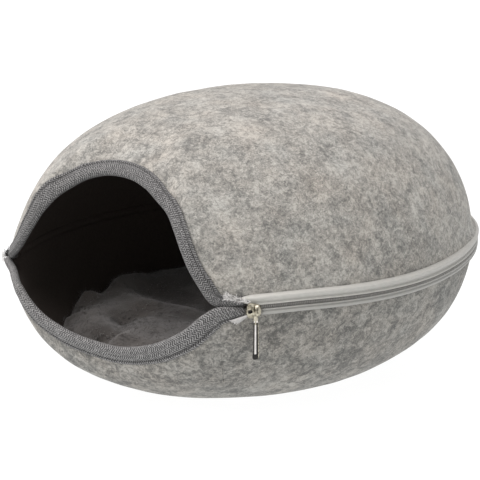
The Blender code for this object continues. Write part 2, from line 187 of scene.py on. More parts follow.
def read_table(rows, place_at):
    """Smooth curve through a table's (place, value) rows."""
    xs, ys = np.array(rows, dtype=float).T
    slopes = np.empty_like(ys)
    slopes[1:-1] = (ys[2:] - ys[:-2]) / (xs[2:] - xs[:-2])
    slopes[0] = (ys[1] - ys[0]) / (xs[1] - xs[0])
    slopes[-1] = (ys[-1] - ys[-2]) / (xs[-1] - xs[-2])
    at = np.asarray(place_at, dtype=float)
    k = np.clip(np.searchsorted(xs, at, side="left") - 1, 0, len(xs) - 2)
    span = xs[k + 1] - xs[k]
    t = np.clip((at - xs[k]) / span, 0.0, 1.0)
    return (ys[k] * (1 + 2 * t) * (1 - t) ** 2 + ys[k + 1] * t * t * (3 - 2 * t)
            + span * (slopes[k] * t * (1 - t) ** 2 - slopes[k + 1] * t * t * (1 - t)))


def signed_turn(degrees):
    """A turn in degrees, brought between -180 and 180."""
    return (np.asarray(degrees, dtype=float) + 180) % 360 - 180


def rim_height(half, degrees):
    """Height of the rim line from the zip plane."""
    degrees = signed_turn(degrees)
    height = read_table(RIM[half.name], degrees)
    return np.where(np.abs(degrees) >= MOUTH_TURN, RIM_HEIGHT, np.maximum(height, RIM_HEIGHT))


def climb_at(half, height):
    """Profile angle at which a half reaches a height."""
    crease = math.sin(half.crease)
    share = np.minimum(height / half.rise, 1.0) ** (half.power / 2)
    return np.arcsin(np.minimum(share * (1 - crease) + crease, 1.0))


def plain_point(half, turn, climb):
    """Outer face before the mouth is drawn in; turn and climb in radians."""
    turn, climb = np.broadcast_arrays(turn, climb)
    crease = math.sin(half.crease)
    reach = (np.cos(climb) / math.cos(half.crease)) ** (2 / half.power)
    height = np.maximum(np.sin(climb) - crease, 0.0) / (1 - crease)
    height = half.rise * height ** (2 / half.power)
    if half.floor:
        above = half.floor - height
        height = half.floor - (above + np.sqrt(above * above + FLOOR_ROUNDING ** 2)) / 2
    length = np.where(np.cos(turn) > 0, FRONT_REACH, BACK_REACH)
    return np.stack([HALF_WIDTH * np.sin(turn) * reach,
                     -length * np.cos(turn) * reach + (1 - reach) * half.lean,
                     half.sign * height], axis=-1)


def unit(vectors):
    """Vectors brought to length 1."""
    return vectors / np.maximum(np.linalg.norm(vectors, axis=-1, keepdims=True), 1e-12)


def tangents(point_at, half, turn, climb):
    """Tangents along the turn and along the climb."""
    along = point_at(half, turn + TINY, climb) - point_at(half, turn - TINY, climb)
    up = point_at(half, turn, climb + TINY) - point_at(half, turn, climb - TINY)
    return along / (2 * TINY), up / (2 * TINY)


def outward(point_at, half, turn, climb):
    """Unit normal that points out of the cave."""
    along, up = tangents(point_at, half, turn, np.minimum(climb, math.radians(89.4)))
    return unit(np.cross(along, up) * half.sign)


def face_point(half, turn, climb):
    """Finished outer face, with the mouth drawn in by its binding."""
    point = plain_point(half, turn, climb)
    degrees = signed_turn(np.degrees(turn))
    draw = DRAW[half.name]
    beside = np.exp(-((degrees - FLARE_TURN) / FLARE_SPREAD) ** 2)
    flare = draw.flare * beside * (1 - smooth_step(np.abs(point[..., 2]) / draw.flare_height))
    aside = point[..., 0] - draw.middle
    taper = 1 - np.abs(aside / np.where(aside < 0, draw.left, draw.right)) ** draw.power
    above = np.abs(point[..., 2]) - rim_height(half, degrees)
    depth = draw.depth * np.maximum(taper, 0.0) * (1 - smooth_step(above / draw.fade))
    depth = np.where(np.abs(degrees) >= MOUTH_TURN, 0.0, depth) - flare
    if half.sign > 0:
        low, middle, high = ROLL_HEIGHTS
        roll = eased(np.abs(degrees), *ROLL_TURNS) * eased(point[..., 2], low, middle)
        depth = depth - ROLL * (roll * (1 - eased(point[..., 2], middle, high)))
    point = point - outward(plain_point, half, turn, climb) * depth[..., None]
    for press in PRESSES:
        near = np.exp(-((degrees - press.turn) / press.spread) ** 2)
        near = near * (1 - smooth_step(np.abs(point[..., 2]) / PRESS_HEIGHT))
        point[..., 2] -= near * (press.dome if half.sign > 0 else -press.base)
    return point


def walk(half, turn, climb, heading, distance):
    """Move (turn, climb) spots by a distance along a heading on the face."""
    along, up = tangents(plain_point, half, turn, climb)
    aa, au, uu = (along * along).sum(-1), (along * up).sum(-1), (up * up).sum(-1)
    ha, hu = (heading * along).sum(-1) * distance, (heading * up).sum(-1) * distance
    det = aa * uu - au * au
    return turn + (ha * uu - hu * au) / det, climb + (hu * aa - ha * au) / det


def tape_width(half, degrees):
    """Width of the binding's outer arm."""
    return read_table(TAPE_WIDTH[half.name], signed_turn(degrees))


def pinch(degrees, distance):
    """Share of the wall's thickness left beside the mouth, where the binding squeezes it."""
    within = eased(np.abs(signed_turn(degrees)), *PINCH_TURNS)
    return 1 - (1 - PINCH) * within * (1 - smooth_step(distance / PINCH_REACH))


def rim_spot(half, degrees):
    """(turn, climb) in radians of the rim line."""
    return np.radians(degrees), climb_at(half, rim_height(half, degrees))


def length_along(points):
    """Distance gone at each point of a line of points."""
    steps = np.linalg.norm(np.diff(points, axis=0), axis=1)
    return np.concatenate([[0.0], np.cumsum(steps)])


def even_turns(half, low, high, count):
    """Turns in degrees, evenly spaced along the rim line."""
    samples = np.linspace(low, high, RIM_SAMPLES)
    lengths = length_along(plain_point(half, *rim_spot(half, samples)))
    return np.interp(np.linspace(0, lengths[-1], count + 1), lengths, samples)


def rim_heading(half, degrees):
    """Heading across the rim line, into the wall."""
    turn, climb = rim_spot(half, degrees)
    step = 0.4
    ahead = plain_point(half, *rim_spot(half, degrees + step))
    behind = plain_point(half, *rim_spot(half, degrees - step))
    normal = outward(plain_point, half, turn, climb)
    return unit(np.cross(normal, ahead - behind)) * half.sign


def into_wall(half, degrees, distances):
    """Spots at distances into the wall from the rim line, one row for each distance."""
    turn, climb = rim_spot(half, degrees)
    heading = rim_heading(half, degrees)
    rows, gone = [], 0.0
    for distance in distances:
        for _ in range(WALK_STEPS):
            turn, climb = walk(half, turn, climb, heading, (distance - gone) / WALK_STEPS)
        gone = distance
        rows.append((turn, climb))
    return rows


def wall_grid(half, back_start=FELT_START):
    """Turns and climbs of a half's wall, rows from the cut edge to the crown."""
    mouth = even_turns(half, -MOUTH_TURN, MOUTH_TURN, MOUTH_COLUMNS)[:-1]
    back = even_turns(half, MOUTH_TURN, 360 - MOUTH_TURN, BACK_COLUMNS)[:-1]
    degrees = np.concatenate([mouth, back])
    poles = np.concatenate([np.linspace(-MOUTH_TURN, MOUTH_TURN, MOUTH_COLUMNS, endpoint=False),
                            back])
    width = tape_width(half, degrees)
    start = np.where(np.abs(signed_turn(degrees)) < MOUTH_TURN, FELT_START, back_start)
    near = [start + (width + TAPE_BORDER - start) * k / RIM_ROWS for k in range(RIM_ROWS + 1)]
    rows = into_wall(half, degrees, near)
    turn, climb = rows[-1]
    for row in range(1, CROWN_ROWS):
        share = (row / CROWN_ROWS) ** CROWN_EASE
        rows.append((turn + (np.radians(poles) - turn) * share,
                     climb + (math.pi / 2 - climb) * share))
    return np.array([row[0] for row in rows]), np.array([row[1] for row in rows])


# ---- meshes ---------------------------------------------------------------------------------

def new_piece(name, points, faces, material, uvs=None):
    """Object of closed shells, whose faces are turned outwards."""
    mesh = bpy.data.meshes.new(name)
    mesh.from_pydata(place(points).tolist(), [], faces)
    shape = bmesh.new()
    shape.from_mesh(mesh)
    bmesh.ops.recalc_face_normals(shape, faces=shape.faces[:])
    shape.to_mesh(mesh)
    shape.free()
    mesh.materials.append(material)
    if uvs is not None:
        layer = mesh.uv_layers.new(name="UVMap")
        corners = np.empty(len(mesh.loops), dtype=np.int64)
        mesh.loops.foreach_get("vertex_index", corners)
        layer.data.foreach_set("uv", np.asarray(uvs, dtype=float)[corners].ravel())
    mesh.shade_smooth()
    mesh.validate()
    mesh.update()
    piece = bpy.data.objects.new(name, mesh)
    bpy.context.scene.collection.objects.link(piece)
    return piece


def bridge(first, second, columns):
    """Quads between two rings of points."""
    return [(first + i, first + (i + 1) % columns, second + (i + 1) % columns, second + i)
            for i in range(columns)]


def strips(rows, columns, start=0, ring=False):
    """Quads through rings of points that are stored one after another; a ring joins up again."""
    faces = []
    for row in range(rows if ring else rows - 1):
        faces += bridge(start + row * columns, start + (row + 1) % rows * columns, columns)
    return faces


def caps(rows, columns, start=0):
    """The first and the last ring of points, each as one face."""
    last = start + (rows - 1) * columns
    return [tuple(range(start, start + columns))[::-1], tuple(range(last, last + columns))]


def ripple(points, height, size, seed):
    """Slow unevenness of a hand-finished surface, one value for each point."""
    drift = Vector((seed, -2 * seed, 0.5 * seed))
    flat = points.reshape(-1, 3)
    values = [noise.noise(Vector(point) / size + drift) for point in flat]
    return np.array(values).reshape(points.shape[:-1]) * height


def shell(name, half, turn, climb, outer, inner, material):
    """Closed wall between two offsets from the outer face, with a pole at its crown."""
    rows, columns = turn.shape
    face, normal = face_point(half, turn, climb), outward(face_point, half, turn, climb)
    gone = np.linalg.norm(np.diff(face, axis=0, prepend=face[:1]), axis=-1).cumsum(axis=0)
    share = pinch(np.degrees(turn[0])[None, :], gone + FELT_START)
    wave = ripple(face, UNEVEN, 46.0, 3.7 + half.sign) + ripple(face, UNEVEN * 0.4, 17.0, 9.1)
    settle = smooth_step(np.arange(rows) / 12)[:, None]
    pole = plain_point(half, np.array(0.0), np.array(math.pi / 2))
    points, faces = [], []
    for offset in (outer, inner):
        start = len(points)
        crown = start + rows * columns
        grid = face + normal * (offset * share + wave * settle)[..., None]
        points.extend(grid.reshape(-1, 3))
        points.append(pole + UP * half.sign * offset)
        faces += strips(rows, columns, start)
        faces += [(crown - columns + i, crown - columns + (i + 1) % columns, crown)
                  for i in range(columns)]
    faces += bridge(0, rows * columns + 1, columns)
    return new_piece(name, points, faces, material)


def sweep(name, sections, material, uvs=None):
    """Closed solid through equal polygons, capped at both ends."""
    count, size = sections.shape[:2]
    faces = strips(count, size) + caps(count, size)
    return new_piece(name, sections.reshape(-1, 3), faces, material, uvs)


TUBE_LEAN = np.array([0.31, 0.17, 0.94])     # a way that no strand runs


class Parts:
    """Closed shells gathered into one mesh, each with its own finish."""

    def __init__(self):
        self.points, self.faces, self.finishes = [], [], []

    def loft(self, sections, finish=0, ring=False):
        """Add a shell through equal polygons; returns the index of its first face."""
        sections = np.asarray(sections)
        count, size = sections.shape[:2]
        start, first = len(self.points), len(self.faces)
        self.points.extend(sections.reshape(-1, 3))
        faces = strips(count, size, start, ring)
        if not ring:
            faces += caps(count, size, start)
        self.faces += faces
        self.finishes += [finish] * len(faces)
        return first

    def tube(self, path, radius, sides=5, finish=0, ring=False):
        """Add a round strand along a path; radius is one value or one for each point."""
        path = np.asarray(path, dtype=float)
        ahead = np.gradient(path, axis=0)
        if ring:
            ahead = np.roll(path, -1, axis=0) - np.roll(path, 1, axis=0)
        ahead = unit(ahead)
        aside = unit(np.cross(ahead, TUBE_LEAN))
        over = np.cross(aside, ahead)
        radius = np.broadcast_to(radius, path.shape[:1])[:, None]
        angles = np.linspace(0, math.tau, sides, endpoint=False)
        rings = [path + (aside * math.cos(a) + over * math.sin(a)) * radius for a in angles]
        self.loft(np.array(rings).transpose(1, 0, 2), finish, ring=ring)

    def piece(self, name, *materials):
        """The gathered shells as one object."""
        made = new_piece(name, self.points, self.faces, materials[0])
        for material in materials[1:]:
            made.data.materials.append(material)
        made.data.polygons.foreach_set("material_index", self.finishes)
        return made


# ---- pieces ---------------------------------------------------------------------------------

def binding(half, material, groove):
    """Woven tape folded over the mouth's edge, sewn down near its outer edge; its sewn groove is a
    darker copy of the tape, painted shade.
    """
    degrees = even_turns(half, -MOUTH_TURN, MOUTH_TURN, TAPE_COLUMNS)
    degrees[0], degrees[-1] = -TAPE_END_TURN, TAPE_END_TURN
    width = tape_width(half, degrees)
    slack = GAP + TAPE_SLACK
    out = slack + TAPE
    inner = TAPE_INNER_SHARE
    # (share of the width, extra distance, layer from the outer to the inner face, lift)
    profile = [(1, 0, 0, slack), (1, 0.15, 0, slack + 0.5), (1, -0.5, 0, out),
               (0.88, 0, 0, out + 0.1), (0.82, 0, 0, out - 0.4), (0.76, 0, 0, out + 0.15),
               (0.6, 0, 0, out + 0.35), (0.4, 0, 0, out + 0.4), (0.25, 0, 0, out + 0.25),
               (0, 2.6, 0, out - 0.25), (0, 1.5, 0, out - 1.0), (0, 0.85, 0.2, 0),
               (0, 0.6, 0.5, 0), (0, 0.85, 0.8, 0), (0, 1.5, 1, 1.0 - out), (0, 2.6, 1, -out),
               (inner / 2, 0, 1, -out), (inner, -0.5, 1, -out), (inner, 0, 1, -slack - 0.4),
               (inner, 0, 1, -slack), (inner / 2, 0, 1, -slack), (0, FELT_START - GAP, 1, -slack),
               (0, FELT_START - GAP, 0, slack), (0.5, 0, 0, slack)]
    walked = length_along(plain_point(half, *rim_spot(half, degrees)))
    sections, uvs, across, last = [], [], 0.0, None
    for share, extra, layer, lift in profile:
        distance = share * width + extra
        turn, climb = into_wall(half, degrees, [distance])[0]
        normal = outward(face_point, half, turn, climb)
        points = face_point(half, turn, climb)
        if lift > slack:
            lift = lift + ripple(points, PUCKER, 7.0, 2.3) + ripple(points, PUCKER, 19.0, 5.1)
        offset = lift - WALL * layer * pinch(degrees, distance)
        points = points + normal * offset[..., None]
        if last is not None:
            across = across + np.linalg.norm(points - last, axis=1)
        last = points
        sections.append(points)
        uvs.append(np.stack([walked, np.broadcast_to(across, walked.shape)], axis=1))
    sections = np.array(sections).transpose(1, 0, 2)
    uvs = np.array(uvs).transpose(1, 0, 2).reshape(-1, 2) * MM
    piece = sweep("binding_tape_" + half.name, sections, material, uvs)
    piece.data.materials.append(groove)
    piece.data.polygons.foreach_set("material_index", [
        int(face % len(profile) in STITCHED) for face in range(len(piece.data.polygons))])
    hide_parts("binding_" + half.name)
    return piece


def run_along_zip(profile, degrees, sign=+1):
    """Sections of a profile (height from the zip plane, offset) along the zip line."""
    turn, climb = rim_spot(DOME, degrees)
    normal = outward(face_point, DOME, turn, climb)
    normal[..., 2] = 0
    normal = unit(normal)
    foot = face_point(DOME, turn, climb)
    foot[..., 2] = 0
    sections = []
    for height, offset in profile:
        point = foot + normal * offset
        point[..., 2] = sign * height
        sections.append(point)
    return np.array(sections).transpose(1, 0, 2), length_along(foot)


# Section of each band as (height from the zip plane, offset), from its lip to its outer edge
BAND = {"upper": [(1.5, 0.3), (1.4, 2.2), (1.45, 3.3), (1.8, 4.0), (2.3, 4.1), (2.8, 3.1),
                  (3.2, 2.2), (4.1, 2.7), (5.3, 3.8), (6.5, 4.6), (7.6, 4.8), (8.4, 4.2),
                  (9.1, 2.8), (9.5, 0.7), (9.3, -1.2)],
        "lower": [(1.7, 0.3), (1.6, 2.4), (1.7, 3.4), (2.1, 4.1), (2.7, 4.1), (3.1, 2.8),
                  (3.5, 2.7), (4.1, 3.6), (4.9, 3.7), (5.8, 3.2), (6.6, 2.2), (7.2, 1.2),
                  (7.3, 0.1)]}
BAND_COLUMNS = 360
BAND_ROOT = {"upper": 6.5, "lower": 4.6}         # height that a band thins out to
ROOT_OFFSET = 0.4
SUNK_OFFSET = -3.0           # where its far end goes into the felt
BAND_START_TAPER = 14.0      # lengths over which it thins out at its two ends
BAND_END_TAPER = 22.0
BAND_START_SIZE = 0.30       # and the share of its section that is left there
BAND_END_SIZE = 0.35
CLOSING = 0.75               # how far each lip moves over the coil round the back
CLOSING_TURNS = (62.0, 100.0)
LIP_REACH = 1.2


def closing(degrees):
    """Share by which the two bands have closed over the coil, 0 at the mouth and 1 at the back."""
    return eased(np.abs(degrees), *CLOSING_TURNS)


def zip_band(half, material):
    """Band of zip tape that bulges over the seam and thins out at its two ends."""
    profile = np.array(BAND[half.name])
    degrees = even_turns(DOME, UPPER_BAND_START if half.sign > 0 else ZIP_START, ZIP_END,
                         BAND_COLUMNS)
    sections, walked = run_along_zip(profile, degrees, half.sign)
    lip = np.exp(-(profile[:, 0] - profile[0, 0]).clip(0) / LIP_REACH)
    sections[..., 2] -= half.sign * CLOSING * closing(degrees)[:, None] * lip
    foot, _ = run_along_zip([(BAND_ROOT[half.name], ROOT_OFFSET)], degrees, half.sign)
    sunk, _ = run_along_zip([(BAND_ROOT[half.name], SUNK_OFFSET)], degrees, half.sign)
    start = smooth_step(walked / BAND_START_TAPER) if half.sign > 0 else 1.0
    end = smooth_step((walked[-1] - walked) / BAND_END_TAPER)
    size = BAND_START_SIZE + (1 - BAND_START_SIZE) * start
    size = size * (BAND_END_SIZE + (1 - BAND_END_SIZE) * end)
    sections = foot + (sections - foot) * size[:, None, None]
    sections += (sunk - foot) * (1 - end)[:, None, None]
    sections[..., 2] += ripple(sections, 0.12, 9.0, 1.7)
    across = length_along(profile)
    uvs = np.stack(np.meshgrid(walked, across, indexing="ij"), axis=-1).reshape(-1, 2) * MM
    piece = sweep("zip_band_" + half.name, sections, material, uvs)
    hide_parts("zip_tape_" + half.name)
    return piece


TOOTH_PITCH = 1.5
TOOTH_RADIUS = 0.55
TOOTH_SIDES = 6
TOOTH = [(-1.35, 1.6, 0.5), (-1.15, 3.0, 1.0), (-0.45, 3.5, 1.0), (0.45, 3.5, 1.0),
         (1.15, 3.0, 1.0), (1.35, 1.6, 0.5)]     # height, offset and share of its radius
COIL_CORE = [(-1.0, -1.5), (-1.0, 1.6), (1.0, 1.6), (1.0, -1.5)]
COIL_NARROWING = 0.45        # share of its height that the coil loses between the closed lips


def coil_teeth(material):
    """Nylon coil: a core with a row of rounded turns."""
    _, walked = run_along_zip([(0, 0)], even_turns(DOME, COIL_START, COIL_END, 400))
    degrees = even_turns(DOME, COIL_START, COIL_END, int(walked[-1] / TOOTH_PITCH))
    count = len(degrees)
    core, _ = run_along_zip(COIL_CORE, degrees)
    points = list(core.reshape(-1, 3))
    faces = strips(count, len(COIL_CORE)) + caps(count, len(COIL_CORE))
    angles = np.linspace(0, math.tau, TOOTH_SIDES, endpoint=False)
    ring = [(TOOTH_RADIUS * math.cos(a), TOOTH_RADIUS * math.sin(a)) for a in angles]
    anchor, _ = run_along_zip([(0, 0)], degrees)
    anchor = anchor[:, 0]
    ahead = unit(np.gradient(anchor, axis=0))
    side = np.cross(ahead, UP)
    narrow = 1 - COIL_NARROWING * closing(degrees)
    for i in range(count):
        start = len(points)
        for height, depth, size in TOOTH:
            height = height * narrow[i]
            middle = anchor[i] + side[i] * depth + UP * height
            radial = unit(side[i] * (depth - 1.0) + UP * height)
            points += [middle + ahead[i] * x * size + radial * y * size for x, y in ring]
        faces += strips(len(TOOTH), TOOTH_SIDES, start) + caps(len(TOOTH), TOOTH_SIDES, start)
    piece = new_piece("zip_coil_teeth", points, faces, material)
    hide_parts("zip_coil")
    return piece


def slider_place():
    """Function that puts slider measures (along the zip, outwards, up) on the cave."""
    turn = np.array(math.radians(SLIDER_TURN))
    foot = plain_point(DOME, turn, DOME.crease)
    along = (plain_point(DOME, turn + TINY, DOME.crease)
             - plain_point(DOME, turn - TINY, DOME.crease))
    along[2] = 0
    along = unit(along)
    out = np.cross(along, UP)

    def at(x, level, z):
        return foot + along * x + out * level + UP * (z - SLIDER_DROP)
    return at


def oblong(half_width, half_height, count, squareness=0.62):
    """Points round a rounded oblong; at squareness 1 it is an oval."""
    points = []
    for angle in np.linspace(0, math.tau, count, endpoint=False):
        c, s = math.cos(angle), math.sin(angle)
        points.append((math.copysign(abs(c) ** squareness, c) * half_width,
                       math.copysign(abs(s) ** squareness, s) * half_height))
    return points


# Slider: its body as (level, size) from the back to the front, its bridge, and the dark recess, a
# near-black disc that is painted shade in the slider's hole
BODY_HALF = (5.2, 5.8)
BODY_MIDDLE = (-1.6, 0.6)
BODY_LEVELS = [(3.3, 0.82), (3.4, 0.94), (3.8, 1.0), (5.0, 1.0), (5.55, 0.96), (5.85, 0.87),
               (5.95, 0.5)]
BODY_WEDGE = 0.02            # share by which it is taller at one end
BRIDGE_ASIDE = 1.2
BRIDGE_MIDDLE = (0.9, 6.1)   # height and level
BRIDGE_REACH = (4.1, 3.0)
BRIDGE_SWEEP = 0.35          # radians by which its ends go into the body
RECESS_ASIDE = -4.1
RECESS_HALF = (2.4, 2.0)
RECESS_LEVELS = [(5.6, 1.0), (6.05, 1.0), (6.1, 0.6)]


def slider(metal, shaded_metal):
    """Zip slider: a rounded body and the bridge that holds the pull's eye."""
    at = slider_place()
    parts = Parts()
    aside, rise = BODY_MIDDLE
    outline = oblong(*BODY_HALF, 40)
    parts.loft([[at(x * size + aside, level, z * (1 - BODY_WEDGE * x) * size + rise)
                 for x, z in outline] for level, size in BODY_LEVELS])
    bridge = []
    for angle in np.linspace(-BRIDGE_SWEEP, math.pi + BRIDGE_SWEEP, 25):
        z = BRIDGE_MIDDLE[0] + BRIDGE_REACH[0] * math.cos(angle)
        level = BRIDGE_MIDDLE[1] + BRIDGE_REACH[1] * math.sin(angle)
        width = 2.0 + 0.4 * max(math.sin(angle), 0.0)
        bridge.append([at(BRIDGE_ASIDE + side, level + depth * math.sin(angle),
                          z + depth * math.cos(angle))
                       for depth, side in oblong(0.75, width, 12, 0.75)])
    parts.loft(bridge)
    # painted shade: a near-black disc stands for the shadow in the slider's hole
    outline = oblong(*RECESS_HALF, 16, 1.0)
    parts.loft([[at(RECESS_ASIDE + x * size, level, z * size + rise) for x, z in outline]
                for level, size in RECESS_LEVELS], finish=1)
    piece = parts.piece("zip_slider_cast", metal, shaded_metal)
    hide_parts("zip_slider")
    return piece


# Pull, with heights from the slider's middle
PULL_LEVEL = 7.35
EYE_ASIDE = -4.7
EYE_HALF = (2.45, 2.1)
EYE_WIRE = 0.82
NECK = [(0.6, 0.7, -1.6), (-0.6, 1.3, -1.5), (-2.2, 1.6, -1.0), (-3.2, 1.7, -0.5),
        (-4.4, 1.7, -0.3), (-5.4, 1.9, -0.4), (-6.6, 2.0, -0.4),
        (-6.9, 1.6, -0.4)]                   # height, half width and place aside
NECK_HALF_DEPTH = 0.74
TAB_ASIDE = -0.4
TAB_TOP = -5.6
TAB_BOTTOM = -37.6
TAB_STEPS = 36
TAB_PAINTED_SHADE = (6, 7, 8, 11, 12, 13, 14, 15)  # sides of its section on both sides of the rib and over its left rim, near-black as painted shade
TAB_RIB = (9, 10)
TAB_EDGE = (3, 4, 5)


def tab_section(share):
    """Section of the pull's tab at a share of its length: a rib between two grooves."""
    size = 0.82 + 0.22 * share
    size *= 1 - 0.3 * (1 - min(share * 9, 1.0)) ** 2
    size *= 1 - 0.35 * max((share - 0.95) / 0.05, 0.0) ** 2
    sunk = 0.55 * float(smooth_step(share * 9 - 0.5) * smooth_step((1 - share) * 12 - 1.0))
    left = -1.95 - 0.5 * float(smooth_step((share - 0.84) / 0.05))
    groove = 0.70 - sunk
    outline = [(left, -0.45), (left + 0.2, -0.65), (2.2, -0.65), (2.45, -0.45), (2.45, 0.45),
               (2.3, 0.72), (1.95, 0.72), (1.75, groove), (0.75, groove), (0.4, 0.85),
               (-0.4, 1.0), (-1.1, 0.85), (-1.35, groove), (-1.6, groove), (left + 0.3, 0.72),
               (left + 0.1, 0.66), (left, 0.45)]
    return [(x * size, level) for x, level in outline]


def pull(metal, shaded_metal, plated):
    """Pull: an eye that passes under the bridge, a neck, and a ribbed tab that hangs from it."""
    at = slider_place()
    parts = Parts()
    eye = [at(x + EYE_ASIDE, PULL_LEVEL, z + BODY_MIDDLE[1])
           for x, z in oblong(*EYE_HALF, 32, 0.85)]
    parts.tube(eye, EYE_WIRE, 8, 2, ring=True)
    parts.loft([[at(x + aside, PULL_LEVEL + depth, z)
                 for x, depth in oblong(half_width, NECK_HALF_DEPTH, 16)]
                for z, half_width, aside in NECK], 2)
    tab = []
    for share in np.arange(TAB_STEPS + 1) / TAB_STEPS:
        z = TAB_TOP + (TAB_BOTTOM - TAB_TOP) * share
        tab.append([at(x + TAB_ASIDE, PULL_LEVEL + level, z) for x, level in tab_section(share)])
    # the tab is first given the paler metal: partly polish, partly a painted highlight on its rib
    first, sides = parts.loft(tab), len(tab[0])
    for i in range(TAB_STEPS):
        near_top, near_foot = i < 5, i > TAB_STEPS - 6
        # painted shade: the grooves, the left rim and the rib's foot take the near-black metal
        dark = TAB_PAINTED_SHADE if i > 2 else ()
        for side in dark + (TAB_RIB if near_foot else ()):
            parts.finishes[first + i * sides + side] = 1
        for side in TAB_EDGE + (TAB_RIB if near_top else ()):
            parts.finishes[first + i * sides + side] = 2
    piece = parts.piece("zip_pull_tab", metal, shaded_metal, plated)
    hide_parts("zip_pull")
    return piece


STRAND_STEPS = 6


def strand(parts, root, heading, length, radius, bend, generator, finish=0):
    """Add one loose thread that leaves its root along a heading and curls as it goes."""
    points, point = [], np.array(root, dtype=float)
    heading = unit(np.array(heading, dtype=float))
    curl = generator.normal(size=3) * bend
    for _ in range(STRAND_STEPS + 1):
        points.append(point.copy())
        point = point + heading * length / STRAND_STEPS
        heading = unit(heading + curl / STRAND_STEPS + generator.normal(size=3) * 0.06)
    parts.tube(points, np.linspace(1.0, 0.35, STRAND_STEPS + 1) * radius, 3, finish)


def zip_spot(degrees, height, offset):
    """Point beside the zip line."""
    section, _ = run_along_zip([(height, offset)], np.array([degrees, degrees + 0.5]))
    return section[0, 0]


def frays(thread, shade, shaded_tack, cut):
    """Ravelled tape ends at both corners, the cut tail below the slider, and loose threads."""
    generator = np.random.default_rng(11)
    parts = Parts()
    start, end = zip_spot(43.4, 9.9, 7.0), zip_spot(47.9, 6.2, 8.2)
    for k in range(230):
        share = generator.random() ** 1.6
        spread = 0.4 + 1.1 * (1 - share)
        root = start + (end - start) * share + generator.normal(size=3) * (0.5, 0.5, spread)
        heading = (start - end) / 12 + generator.normal(size=3) * 0.6
        strand(parts, root, heading, generator.uniform(1.5, 4.5), 0.3, 1.1, generator, k % 5 // 4)
    corner = zip_spot(-48.6, -4.0, 7.6)
    for _ in range(60):
        root = corner + generator.normal(size=3) * (0.8, 0.8, 2.2)
        heading = np.array([-0.9, -0.3, -0.1]) + generator.normal(size=3) * 0.7
        strand(parts, root, heading, generator.uniform(1.5, 3.6), 0.17, 1.0, generator)
    # painted shade: a near-black knot of threads fills the dark gap at the left corner between the
    # tapes' ends
    knot = zip_spot(-48.0, -1.8, 2.8)
    for _ in range(150):
        root = knot + generator.normal(size=3) * (1.3, 1.3, 1.7)
        heading = generator.normal(size=3) + UP * 0.8
        strand(parts, root, heading, generator.uniform(2.0, 4.5), 0.28, 1.2, generator, 2)
    tail_top, tail_tip = zip_spot(48.0, -4.4, 5.4), zip_spot(44.3, -9.4, 3.8)
    tail_foot = zip_spot(45.9, -12.4, 3.6)
    thickness, start_width = np.array([0.25, -0.425, 0.0]), UP * 1.2
    rows = []
    for share in np.linspace(0, 1, 13):
        upper = tail_top + (tail_tip - tail_top) * share
        lower = tail_top - start_width + (tail_foot - tail_top + start_width) * share
        rows.append([upper, lower, lower + thickness, upper + thickness])
    # painted shade: the cut tail takes a darker copy of the threads' colour, toning down its
    # lamp-facing side
    parts.loft(rows, 3)
    for _ in range(26):
        share = generator.random()
        root = tail_tip + (tail_foot - tail_tip) * share
        heading = np.array([-0.6, -0.4, -0.5]) + generator.normal(size=3) * 0.25
        strand(parts, root, heading, generator.uniform(0.8, 2.2), 0.16, 0.6, generator)
    return parts.piece("frayed_zip_ends", thread, shade, shaded_tack, cut)


def seam_cover(material):
    """Strip that covers the seam between the two linings on the inside."""
    start = MOUTH_TURN + 1.5
    half_width, outer, inner = 4.0, -WALL - 0.2, -WALL - 0.7
    profile = [(-half_width, outer), (-half_width, inner), (half_width, inner), (half_width, outer)]
    sections, _ = run_along_zip(profile, even_turns(DOME, start, 360 - start, 240))
    return sweep("lining_seam_cover", sections, material)


# ---- cushion --------------------------------------------------------------------------------

CUSHION_HALF_WIDTH = 137.0
CUSHION_FRONT = 167.0
CUSHION_BACK = 166.0
CUSHION_MIDDLE = -4.0
CUSHION_SEAM = -60.0
CUSHION_SQUARENESS = 0.88
CUSHION_BED = -BASE.floor + WALL + 1.2
CUSHION_LEVEL = -50.0        # height of its crown between the folds
Fold = namedtuple("Fold", "x0 y0 x1 y1 rise width")
FOLDS = [Fold(-115, -93, -110, -87, 17, 9), Fold(-104, -50, -95, -34, 12, 15),
         Fold(-112, -118, -116, -104, -8, 9), Fold(-102, -128, -98, -133, 6, 7),
         Fold(-92, 0, -60, 50, 8, 26), Fold(-60, 60, 60, 80, 11, 36),
         Fold(-90, -62, -48, -76, 4, 11), Fold(-48, -76, 0, -62, 3, 12),
         Fold(-76, -34, 0, -36, -7, 15), Fold(-36, -90, -42, -112, -5, 11),
         Fold(-42, -112, -20, -140, -5, 9), Fold(-8, -174, -28, -152, -14, 6),
         Fold(-62, -164, -86, -136, -6, 7)]
CUSHION_SPOKES = 120
CUSHION_FOOT = [(0.5, 0), (0.70, 8), (0.85, 19), (0.945, 30),   # reach, and height from its bed
                (1.0, CUSHION_SEAM - CUSHION_BED)]
CUSHION_TOP = [(0.985, 0.5), (0.94, 0.84), (0.90, 0.93), (0.86, 0.97),      # and share of its crown
               *((0.82 - 0.04 * step, 1.0) for step in range(20))]
FILL_FRAMES = 20
FILL_PRESSURE = 4.0
FILL_LIMIT = 3.0             # the most that filling moves its cover
VOXEL = 0.004                # size of the cover's even mesh, metres


def cushion_crown(x, y):
    """Height of the cushion's top, with its folds and hollows."""
    height = np.full_like(x, CUSHION_LEVEL)
    for fold in FOLDS:
        run = np.array([fold.x1 - fold.x0, fold.y1 - fold.y0])
        share = ((x - fold.x0) * run[0] + (y - fold.y0) * run[1]) / (run @ run)
        share = np.clip(share, 0.0, 1.0)
        gap = np.hypot(x - fold.x0 - run[0] * share, y - fold.y0 - run[1] * share)
        height = height + fold.rise * np.exp(-(gap / fold.width) ** 2)
    return height


